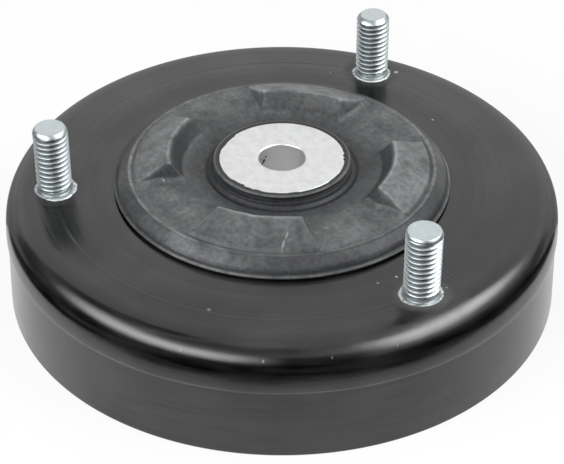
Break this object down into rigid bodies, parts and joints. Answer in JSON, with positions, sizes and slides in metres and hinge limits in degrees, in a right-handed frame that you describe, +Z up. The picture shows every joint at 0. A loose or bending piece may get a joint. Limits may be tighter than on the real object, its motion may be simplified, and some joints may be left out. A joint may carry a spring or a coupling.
{
  "type": "strut mount",
  "caption": "Round strut top mount: a pressed steel cap with a deep skirt and upright studs, and a lobed rubber bearing bonded between its plate and an aluminium rod sleeve.",
  "frame": {"origin": "centre of the skirt's rim, on the surface the mount stands on", "axes": "+Z up along the strut's axis, +X through one stud"},
  "size_m": [0.128, 0.128, 0.0436],
  "materials": {
    "black_coated_steel": "black dip coat, semi-gloss",
    "zinc_plated_steel": "bright zinc plate",
    "moulded_rubber": "moulded, matt, dark grey",
    "turned_aluminium": "turned, bare"
  },
  "bodies": {
    "root": {"top_cap": "black_coated_steel", "stud_set": "zinc_plated_steel", "rubber_bearing": "moulded_rubber", "inner_sleeve": "turned_aluminium"}
  },
  "joints": []
}
